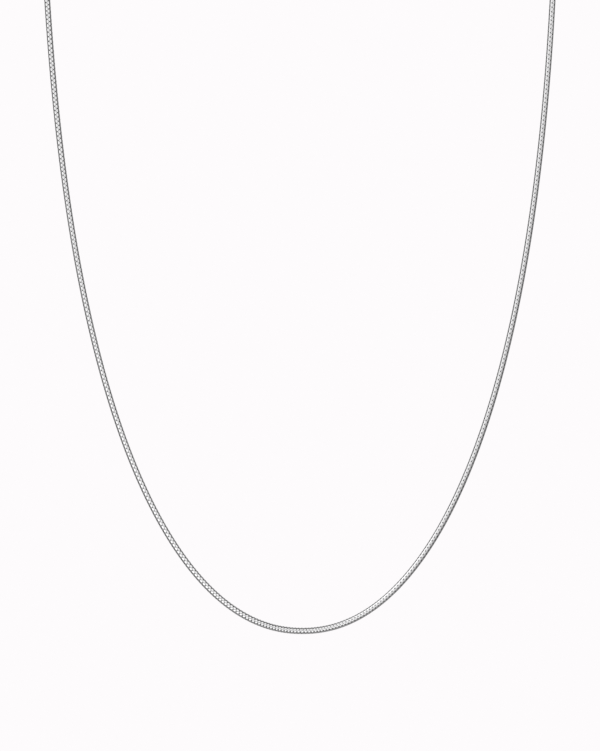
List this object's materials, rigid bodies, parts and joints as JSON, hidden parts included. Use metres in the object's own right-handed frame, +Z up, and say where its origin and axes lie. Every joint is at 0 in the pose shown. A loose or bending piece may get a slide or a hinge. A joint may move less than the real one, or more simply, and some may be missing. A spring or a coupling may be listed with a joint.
{
  "type": "snake chain necklace",
  "caption": "Fine round snake chain of polished silver-coloured metal, closed to a loop at the nape by a ring clasp between two domed end caps.",
  "frame": {"origin": "middle of the nape, in line with the clasp, where the loop hangs", "axes": "+Z up, +X to the right seen from the front, the front faces -Y, and the loop lies in the XZ plane"},
  "size_m": [0.1012, 0.0028, 0.1816],
  "materials": {
    "chain_silver": "polished silver, bright on the links' crests and dark between them",
    "fitting_silver": "polished silver"
  },
  "bodies": {
    "root": {"chain": "chain_silver", "end_cap_left": "fitting_silver", "end_cap_right": "fitting_silver", "clasp": "fitting_silver"}
  },
  "joints": []
}
